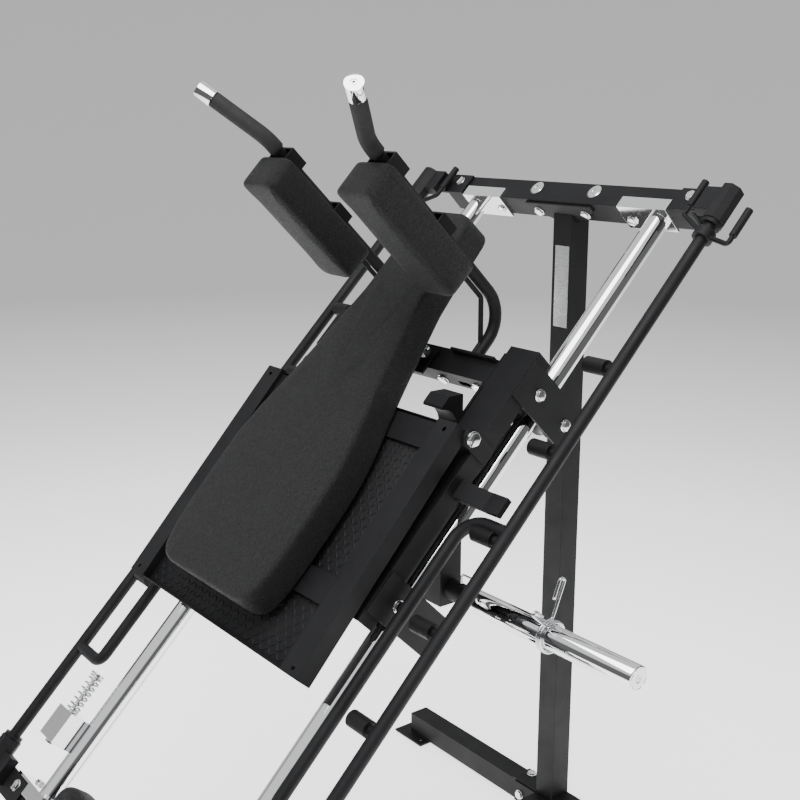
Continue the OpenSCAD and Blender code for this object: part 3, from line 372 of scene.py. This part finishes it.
def cushion_shell(stations, thick, edge, crown, corner, inset=0.0):
    """A closed shell: flat back, straight sides, rounded front edge and a slight crown."""
    outline = [Vector((x, v)) for x, v in cushion_outline(stations, corner)]
    count = len(outline)
    centre = Vector((0, (stations[0][0] + stations[-1][0]) / 2))
    normals = []
    for i in range(count):
        t = (outline[(i + 1) % count] - outline[i - 1]).normalized()
        normals.append(Vector((t.y, -t.x)))
    back = 0.006
    profile = [(inset + back, inset), (inset + back * 0.3, inset + back * 0.3)]
    high = thick - inset - crown
    wall = max(2, round((high - edge - back - inset) / 0.014))
    profile += [(inset, inset + back + (high - edge - back - inset) * i / wall) for i in range(wall)]
    profile += [(inset + edge * (1 - cos(a)), high - edge + edge * sin(a))
                for a in (pi / 2 * i / 3 for i in range(4))]
    bm = bmesh.new()
    rings = [[(*(p - n * d), z) for p, n in zip(outline, normals)] for d, z in profile]
    last = rings[-1]
    for f in (0.94, 0.84, 0.70, 0.52, 0.30):
        rings.append([(centre.x + (x - centre.x) * f, centre.y + (y - centre.y) * f,
                       high + crown * (1 - f ** 4)) for x, y, _ in last])
    skin_rings(bm, rings)
    return bm


def copy_modifiers_applied(obj):
    """The object's mesh with its modifiers applied."""
    graph = bpy.context.evaluated_depsgraph_get()
    mesh = bpy.data.meshes.new_from_object(obj.evaluated_get(graph))
    old = obj.data
    obj.modifiers.clear()
    obj.data = mesh
    bpy.data.meshes.remove(old)


def puff(obj, pressure, cap, pinned, frames=12):
    """Air pressure swells the cushion by at most cap; points where pinned(co) is true stay."""
    rest = np.array([v.co for v in obj.data.vertices])
    group = obj.vertex_groups.new(name="pin")
    group.add([v.index for v in obj.data.vertices if pinned(v.co)], 1.0, "REPLACE")
    cloth = obj.modifiers.new("cloth", "CLOTH")
    s = cloth.settings
    s.quality = 4
    s.mass = 0.4
    s.tension_stiffness = s.compression_stiffness = 20
    s.shear_stiffness = 8
    s.bending_stiffness = 2
    s.use_pressure = True
    s.uniform_pressure_force = pressure
    s.effector_weights.gravity = 0
    s.vertex_group_mass = "pin"
    cloth.collision_settings.use_collision = False
    cloth.collision_settings.use_self_collision = False
    cloth.point_cache.frame_start, cloth.point_cache.frame_end = 1, frames
    scene = bpy.context.scene
    for f in range(1, frames + 1):
        scene.frame_set(f)
    copy_modifiers_applied(obj)
    scene.frame_set(1)
    obj.vertex_groups.clear()
    moved = np.array([v.co for v in obj.data.vertices])
    step = moved - rest
    length = np.linalg.norm(step, axis=1, keepdims=True)
    scale = np.where(length > 1e-9, cap * np.tanh(length / cap) / np.maximum(length, 1e-9), 1.0)
    obj.data.vertices.foreach_set("co", (rest + step * scale).astype(np.float32).ravel())
    obj.data.update()


SWELL = 0.0018


def cushion(name, body, place, stations, thick, edge, crown, corner):
    """An upholstered pad in its own space: outline in XY from its stations, front towards +Z."""
    bm = cushion_shell(stations, thick, edge, crown, corner, SWELL)
    obj = new_object(name, bm, "vinyl")
    low = min(v.co.z for v in obj.data.vertices)
    puff(obj, 4.0, SWELL * 1.2, lambda co: co.z < low + 0.004)
    for v in obj.data.vertices:
        v.co.z = min(max(v.co.z, SWELL * 0.6), thick)
    sub = obj.modifiers.new("subdivision", "SUBSURF")
    sub.levels = sub.render_levels = 1
    copy_modifiers_applied(obj)
    obj.data.transform(place)
    obj.data.update()
    for p in obj.data.polygons:
        p.use_smooth = True
    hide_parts(name.replace("_cover", ""))
    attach(obj, body)


PAD_V = -0.675
PAD_STATIONS = [(PAD_V, 0.177), (PAD_V + 0.080, 0.195), (PAD_V + 0.150, 0.200), (PAD_V + 0.240, 0.202),
                (PAD_V + 0.320, 0.200), (PAD_V + 0.400, 0.185), (PAD_V + 0.474, 0.163),
                (PAD_V + 0.570, 0.140), (PAD_V + 0.640, 0.126), (PAD_V + 0.700, 0.113),
                (PAD_V + 0.740, 0.105), (PAD_V + 0.820, 0.099), (0.295, 0.093)]
cushion("back_pad_cover", "pad", PAD @ Matrix.Translation((0, 0, 0.049)), PAD_STATIONS,
        0.080, 0.009, 0.003, 0.044)

SEAT_HALF = 0.170
cushion("seat_cushion_cover", "frame",
        RAIL @ Matrix.Translation((0, -0.825, BEAM_TOP_N + 0.0053)),
        [(0, SEAT_HALF), (0.310, SEAT_HALF)], 0.060, 0.015, 0.005, 0.045)

STAND_UP = Matrix(((1, 0, 0, 0), (0, 0, 1, 0), (0, 1, 0, 0), (0, 0, 0, 1)))
cushion("backrest_cushion_cover", "frame",
        BACKREST @ Matrix.Translation((0, 0.0253, 0.070)) @ STAND_UP,
        [(0, SEAT_HALF), (0.080, SEAT_HALF), (0.280, SEAT_HALF + 0.008), (0.470, SEAT_HALF),
         (0.560, SEAT_HALF - 0.015)], 0.070, 0.015, 0.005, 0.050)

for side, name in ((1, "right"), (-1, "left")):
    cushion(f"shoulder_pad_{name}_cover", "sled",
            RAIL @ Matrix.Translation((side * SHOULDER_X, SHOULDER_U + SHOULDER_T, SHOULDER_N))
            @ Matrix.Rotation(pi / 2, 4, "X"),
            [(0, 0.0515), (0.012, 0.0585), (0.030, 0.0625), (SHOULDER_H, 0.0625)],
            SHOULDER_T, 0.009, 0.002, 0.018)


# Springs and collars

def helix(turns, pitch_points, radius, per_turn=20):
    """Points round +Z: pitch_points are (turn, height) pairs."""
    at = np.array(pitch_points)
    count = int(turns * per_turn)
    return [Vector((radius * cos(2 * pi * i / per_turn), radius * sin(2 * pi * i / per_turn),
                    float(np.interp(i / per_turn, at[:, 0], at[:, 1])))) for i in range(count + 1)]


BUMPER_N, BUMPER_U, BUMPER_X = 1.225, -0.324, 0.352
BUMPER_FACE_U = BUMPER_U - 0.099
SPRING_WIRE = 0.0045
SPRING_R = 0.0145
ALONG_U = Matrix.Rotation(-pi / 2, 4, "X")


def bumper_springs():
    """Compression springs with closed ends, between the bumper face and the bumper."""
    low = BUMPER_FACE_U + SPRING_WIRE / 2 + 0.0003
    high = BUMPER_U - 0.005 - SPRING_WIRE / 2 - 0.0003
    length = high - low
    wire = SPRING_WIRE
    pitch = [(0, 0), (1, wire * 1.05), (7, length - wire * 1.05), (8, length)]
    for side, name in ((1, "right"), (-1, "left")):
        bm = bmesh.new()
        sweep(bm, helix(8, pitch, SPRING_R, 24), wire / 2, 10)
        obj = new_object(f"bumper_spring_{name}_wire", bm, "spring_steel",
                         RAIL @ Matrix.Translation((side * BUMPER_X, low, BUMPER_N)) @ ALONG_U)
        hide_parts(f"bumper_spring_{name}")
        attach(obj, "frame")
        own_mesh(obj)


bumper_springs()

COLLAR_X, COLLAR_WIRE, SLEEVE_R = 0.556, 0.006, 0.025


def spring_collars():
    """Two turns of wire on each sleeve, with hairpin handles."""
    r = (SLEEVE_R + 0.0003 + COLLAR_WIRE / 2) / cos(radians(22))
    pitch = COLLAR_WIRE + 0.0009
    start, end = radians(85), radians(85 + 360 * 2.07)

    def hairpin(a, dx, turn, legs):
        out = Vector((0, cos(a), sin(a)))
        across = Vector((0, -sin(a), cos(a))) * turn
        base = Vector((dx, r * cos(a), r * sin(a)))
        return [base + across * x / 1000 + out * y / 1000 for x, y in legs]

    coil = [Vector((pitch * (a - start) / (2 * pi), r * cos(a), r * sin(a)))
            for a in np.linspace(start, end, 55)]
    long_legs = [(7, 3), (11, 12), (15, 24), (30, 70), (30, 76), (26, 80), (20, 79), (17, 73), (7, 40)]
    short_legs = [(7, 3), (12, 11), (16, 18), (29, 42), (29, 47), (25, 49), (20, 46), (11, 28)]
    points = list(reversed(hairpin(start, 0, -1, long_legs))) + coil
    points += hairpin(end, pitch * (end - start) / (2 * pi), 1, short_legs)
    fine = smooth_path(points, 4)
    for side, name in ((1, "right"), (-1, "left")):
        bm = bmesh.new()
        sweep(bm, fine, COLLAR_WIRE / 2, 10)
        place = WORLD @ Matrix.Translation((COLLAR_X - pitch, HORN_Y, HORN_Z))
        if side < 0:
            place = Matrix.Diagonal((-1, 1, 1, 1)) @ place
        obj = new_object(f"spring_collar_{name}_wire", bm, "spring_steel", place)
        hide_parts(f"spring_collar_{name}")
        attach(obj, f"collar_{name}")


def smooth_path(points, per):
    """Catmull-Rom points through the given ones."""
    out = []
    n = len(points)
    for i in range(n - 1):
        p0, p1, p2, p3 = points[max(i - 1, 0)], points[i], points[i + 1], points[min(i + 2, n - 1)]
        for k in range(per):
            t = k / per
            out.append(0.5 * (2 * p1 + (p2 - p0) * t + (2 * p0 - 5 * p1 + 4 * p2 - p3) * t * t
                              + (3 * p1 - p0 - 3 * p2 + p3) * t ** 3))
    return out + [points[-1]]


spring_collars()


# Fasteners

def hex_bolt(bm, centre, direction, across=0.0208, head=0.007, washer=0.027, shank=0.0, spin=0.0):
    """A washer, a hexagon head with its corners turned off, and a shank behind."""
    direction = Vector(direction).normalized()
    centre = Vector(centre)
    side = direction.orthogonal().normalized()
    other = direction.cross(side)
    lathe(bm, [(0, washer / 2 - 0.0004), (0.0004, washer / 2), (0.0012, washer / 2),
               (0.0016, washer / 2 - 0.0004)], centre, direction, 40)
    corner = across / 2 / cos(pi / 6)
    rings = []
    for along, size, roundness in ((0.0016, 1, 0), (head - 0.0012, 1, 0), (head - 0.0006, 0.985, 0.5),
                                   (head, 0.86, 1)):
        ring = []
        for i in range(24):
            a = 2 * pi * i / 24 + spin
            flat = across / 2 / cos((2 * pi * i / 24 + pi / 6) % (pi / 3) - pi / 6)
            r = flat * (1 - roundness) + min(flat, across / 2 * 1.04) * roundness
            ring.append(centre + direction * along + (side * cos(a) + other * sin(a)) * r * size)
        rings.append(ring)
    skin_rings(bm, rings)
    if shank:
        lathe(bm, [(-shank, 0.0055), (-shank + 0.0008, 0.006), (0.0005, 0.006)], centre, direction, 24)


def frame_fasteners():
    bm = bmesh.new()
    top, low = TOP_FRONT_U, LOW_BACK_U
    gusset_x, bracket_top_x, bracket_low_x, link_x, beam_x = 0.077, 0.218, 0.372, 0.380, 0.095
    hex_bolt(bm, (gusset_x, top - PLATE, RAIL_N - 0.004), (0, -1, 0))
    hex_bolt(bm, (gusset_x, low + PLATE, RAIL_N - 0.004), (0, 1, 0))
    hex_bolt(bm, (bracket_top_x, top - PLATE, RAIL_N - 0.010), (0, -1, 0), spin=0.4)
    hex_bolt(bm, (bracket_low_x, low + PLATE, RAIL_N - 0.010), (0, 1, 0), spin=0.2)
    for x in (RAIL_X, beam_x):
        hex_bolt(bm, (x, TOP_BACK_U, RAIL_N), (0, 1, 0))
    hex_bolt(bm, (RAIL_X, LOW_FRONT_U, RAIL_N), (0, -1, 0))
    for u0 in (TOP_FRONT_U, LOW_FRONT_U):
        hex_bolt(bm, (link_x, u0 + 0.038, BEAM_TOP_N + PLATE), (0, 0, 1), spin=0.3)
    dome = [(0, 0.019), (0.001, 0.019), (0.0022, 0.0165), (0.0034, 0.0125), (0.0041, 0.0068),
            (0.0041, 0.0064), (0.0022, 0.0060), (0.0022, 0.001)]
    lathe(bm, dome, (beam_x, TOP_FRONT_U + 0.037, BEAM_TOP_N), (0, 0, 1), 48)
    bm.transform(RAIL)
    floor_y, front_y = 0.047, -1.467 + 0.030
    posts = bmesh.new()
    hex_bolt(posts, (0.095, floor_y, 0.078), (0, 0, 1))
    hex_bolt(posts, (0.089, -PLATE, 0.036), (0, -1, 0))
    hex_bolt(posts, (0.089, front_y + PLATE, 0.036), (0, 1, 0))
    posts.transform(WORLD)
    mesh = bpy.data.meshes.new("posts")
    posts.to_mesh(mesh)
    bm.from_mesh(mesh)
    mirrored(bm)
    obj = crisp(new_object("frame_bolts_detail", bm, "bolt_zinc"))
    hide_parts("frame_bolts")
    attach(obj, "frame")


def sled_fasteners():
    bm = bmesh.new()
    out_x = CHANNEL_OUT_X + PLATE
    through = CHANNEL_W + 2 * PLATE
    for u in ROLLER_U:
        for n in (RAIL_N - AXLE_GAP, RAIL_N + AXLE_GAP):
            hex_bolt(bm, (out_x, u, n), (1, 0, 0), shank=through)
            hex_bolt(bm, (out_x - through, u, n), (-1, 0, 0), washer=0.020)
    boss_t, boss_r, rim = 0.006, 0.016, 0.0006
    boss = [(0, boss_r - 0.0008), (rim, boss_r), (boss_t - rim, boss_r), (boss_t, boss_r - 0.0008)]
    lathe(bm, boss, (out_x, *TREAD_HINGE), (1, 0, 0))
    hex_bolt(bm, (out_x + boss_t, *TREAD_HINGE), (1, 0, 0), 0.026, 0.0065, 2 * boss_r, PLATE + 0.018)
    hex_bolt(bm, (0.0565, *PAD_HINGE), (1, 0, 0), across=0.0215, head=0.0078, washer=0.0285)
    for x in CROSSBAR_BOLT_X:
        hex_bolt(bm, (x, CROSSBAR_FACE_U, CHANNEL_TOP_N - 0.032), (0, -1, 0), across=0.023, spin=0.3)
    mirrored(bm)
    obj = crisp(new_object("sled_bolts_detail", bm, "bolt_zinc", RAIL))
    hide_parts("sled_bolts")
    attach(obj, "sled")


frame_fasteners()
sled_fasteners()


# Tread plate with its raised pattern

def tread_pan():
    """The pan of the tread plate, and a pattern of raised lozenges that turns by 90 degrees."""
    half, low, high = 0.288, -0.565, 0.005
    base, top = 0.022, 0.026
    wall, low_lip, high_lip = 0.003, 0.044, 0.033
    bm = bmesh.new()
    box(bm, (-half, low, base), (half, high, top), 0.0006)
    box(bm, (-half, low, base), (half, low + wall, low_lip), 0.0008)
    box(bm, (-half, high - wall, base), (half, high, high_lip), 0.0008)
    pitch = 0.0150
    columns = int(2 * (half - 0.012) / pitch)
    rows = int((high - low - 0.020) / pitch)
    for i in range(columns + 1):
        for j in range(rows + 1):
            x = (i - columns / 2) * pitch
            v = (low + high) / 2 + (j - rows / 2) * pitch
            turn = pi / 4 if (i + j) % 2 else -pi / 4
            lozenge(bm, x, v, top, turn)
    obj = crisp(new_object("tread_plate_pattern", bm, "powder_black", TREAD), 25)
    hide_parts("tread_plate")
    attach(obj, "tread")


def lozenge(bm, x, v, z, turn, length=0.0150, width=0.0046, height=0.0013):
    """One raised lens shape on the tread plate."""
    rings = []
    for size, lift in ((1, -0.0004), (0.9, height * 0.7), (0.6, height)):
        ring = []
        for i in range(10):
            a = 2 * pi * i / 10
            px = cos(a) * length / 2 * size
            py = sin(a) * abs(sin(a)) ** 0.3 * width / 2 * size
            ring.append((x + px * cos(turn) - py * sin(turn), v + px * sin(turn) + py * cos(turn), z + lift))
        rings.append(ring)
    skin_rings(bm, rings)


tread_pan()


# Handles

TUBE_X, TUBE_U = 0.180, SHOULDER_U + SHOULDER_T + 0.0003 + 0.0135
HAND_START = Vector((TUBE_X, TUBE_U, 1.800))
HAND_END = Vector((0.279, TUBE_U, 1.943))
HAND_DIR = (HAND_END - HAND_START).normalized()


def handles():
    """Foam sleeves round the bend of the shoulder tubes, and turned caps with a screw."""
    foam_start = (TUBE_X, TUBE_U, SHOULDER_N + SHOULDER_H + 0.0015)
    foam_r, tube_bend = 0.0175, 0.075
    path = bend([foam_start, HAND_START, HAND_END - HAND_DIR * 0.034], tube_bend, 10)
    bm = bmesh.new()
    shoulder = path[0] + (path[1] - path[0]).normalized() * 0.002
    sweep(bm, [path[0], shoulder, *path[1:-1], path[-1] - HAND_DIR * 0.0015, path[-1]],
          [foam_r - 0.0017, *[foam_r] * len(path), foam_r - 0.0010], 32)
    mirrored(bm)
    obj = crisp(new_object("hand_grips_foam", bm, "grip_foam", RAIL), 50)
    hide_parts("hand_grips")
    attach(obj, "sled")

    bm = bmesh.new()
    start = HAND_END - HAND_DIR * 0.0337
    length = 0.0397
    lathe(bm, [(0, 0.0170), (0, 0.0190), (0.0005, 0.0195), (length - 0.0016, 0.0195),
               (length - 0.0005, 0.0190), (length, 0.0178), (length, 0.0072), (length - 0.0012, 0.0066),
               (length - 0.0024, 0.0066), (length - 0.0024, 0.0056), (length - 0.0008, 0.0052),
               (length - 0.0008, 0.0030), (length - 0.0035, 0.0028), (length - 0.0035, 0.0002)],
          start, HAND_DIR, 56)
    mirrored(bm)
    obj = crisp(new_object("grip_caps_turned", bm, "chrome", RAIL))
    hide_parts("grip_caps")
    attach(obj, "sled")


handles()


def horn_sleeves():
    """Plated sleeves with a turned end: chamfer, groove and a recessed screw."""
    x0, x1, r = 0.345, 0.774, SLEEVE_R
    profile = [(0, r - 0.003), (0, r - 0.0008), (0.0008, r)]
    profile += [(x1 - x0 - 0.0022, r), (x1 - x0 - 0.0006, r - 0.0010), (x1 - x0, r - 0.0026),
                (x1 - x0, r - 0.0046), (x1 - x0 - 0.0012, r - 0.0052), (x1 - x0 - 0.0012, r - 0.0060),
                (x1 - x0, r - 0.0066), (x1 - x0, 0.0085), (x1 - x0 - 0.002, 0.0080),
                (x1 - x0 - 0.002, 0.0062), (x1 - x0, 0.0056), (x1 - x0, 0.0026),
                (x1 - x0 - 0.003, 0.0024), (x1 - x0 - 0.003, 0.0002)]
    for side, name in ((1, "right"), (-1, "left")):
        bm = bmesh.new()
        lathe(bm, profile, (side * x0, HORN_Y, HORN_Z), (side, 0, 0), 72)
        obj = crisp(new_object(f"horn_sleeve_{name}_turned", bm, "chrome", WORLD))
        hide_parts(f"horn_sleeve_{name}")
        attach(obj, "sled")


horn_sleeves()


# Stage, lights and world

# Distances from the middle of the floor over which the stage's painted shade and glow fade, and its glow at
# both
PAINTED_FALLOFF = (1.8, 6.6)
GLOW = (1.8, 0.25)
FLOOR_R, BEND_R = 4.5, 4


def stage():
    """A pale floor that rises into a backdrop behind the machine; painted shade makes it darker with the
    distance, and its glow, painted light, fades with it.
    """
    m = Shader("stage", (0.8, 0.8, 0.8), 0.9, Specular_IOR_Level=0.0, Emission_Strength=1.0)
    length = m.node("VectorMath", operation="LENGTH")
    m.link(m.place, length.inputs[0])
    away = length.outputs["Value"]
    # Painted shade: the stage's colour darkens from 0.80 to 0.42 with the distance from the machine.
    m.tint(m.spread(away, 0, 1, *PAINTED_FALLOFF), (0.80, 0.80, 0.80), (0.42, 0.42, 0.42), 0, 1)
    # Painted light: the stage glows, from 1.8 near the machine down to 0.25 far away.
    m.link(m.spread(away, *GLOW, *PAINTED_FALLOFF), m.shader.inputs["Emission Color"])
    profile = [(0.5 * i, 0) for i in range(1, 10)]
    profile += [(FLOOR_R + BEND_R * sin(a), BEND_R * (1 - cos(a)))
                for a in (pi / 2 * i / 16 for i in range(1, 17))]
    middle, half, steps = radians(142), radians(80), 48
    bm = bmesh.new()
    rows = [[bm.verts.new((r * cos(a), r * sin(a), z))
             for a in (middle + half * (2 * i / steps - 1) for i in range(steps + 1))] for r, z in profile]
    for low, high in zip(rows, rows[1:]):
        for i in range(steps):
            bm.faces.new((low[i], low[i + 1], high[i + 1], high[i]))
    rest = [bm.verts.new((FLOOR_R * cos(a), FLOOR_R * sin(a), 0))
            for a in (middle + half + (2 * pi - 2 * half) * i / steps for i in range(1, steps))]
    bm.faces.new([v for v in reversed(rows[0])] + [row[0] for row in rows[1:9]] + list(reversed(rest))
                 + [row[-1] for row in reversed(rows[1:9])])
    bmesh.ops.recalc_face_normals(bm, faces=bm.faces)
    mesh = bpy.data.meshes.new("stage")
    bm.to_mesh(mesh)
    bm.free()
    mesh.materials.append(m.material)
    for p in mesh.polygons:
        p.use_smooth = True
    obj = bpy.data.objects.new("stage", mesh)
    bpy.context.scene.collection.objects.link(obj)


def area_light(name, place, target, size, power, seen=True):
    data = bpy.data.lights.new(name, "AREA")
    data.shape = "RECTANGLE"
    data.size, data.size_y = size
    data.energy = power
    obj = bpy.data.objects.new(name, data)
    obj.location = place
    obj.rotation_euler = (Vector(target) - Vector(place)).to_track_quat("-Z", "Y").to_euler()
    obj.visible_glossy = seen
    bpy.context.scene.collection.objects.link(obj)


def world(low, high):
    """Even light from above, strength high, over a dim band of strength low round the horizon."""
    made = bpy.data.worlds.new("world")
    made.use_nodes = True
    tree = made.node_tree
    back = tree.nodes["Background"]
    back.inputs["Color"].default_value = (0.95, 0.96, 0.97, 1)
    split = tree.nodes.new("ShaderNodeSeparateXYZ")
    tree.links.new(tree.nodes.new("ShaderNodeTexCoord").outputs["Generated"], split.inputs["Vector"])
    rise = tree.nodes.new("ShaderNodeMapRange")
    rise.interpolation_type = "SMOOTHSTEP"
    for name, value in (("From Min", 0.36), ("From Max", 0.50), ("To Min", low), ("To Max", high)):
        rise.inputs[name].default_value = value
    tree.links.new(split.outputs["Z"], rise.inputs["Value"])
    tree.links.new(rise.outputs["Result"], back.inputs["Strength"])
    bpy.context.scene.world = made


stage()
area_light("key", (0.9, -0.8, 3.8), (0.0, 0.2, 1.0), (2.6, 2.4), 105)
area_light("front", (-1.6, -3.6, 2.6), (0, 0, 0.9), (2.4, 2.0), 75, False)
world(0.14, 0.85)
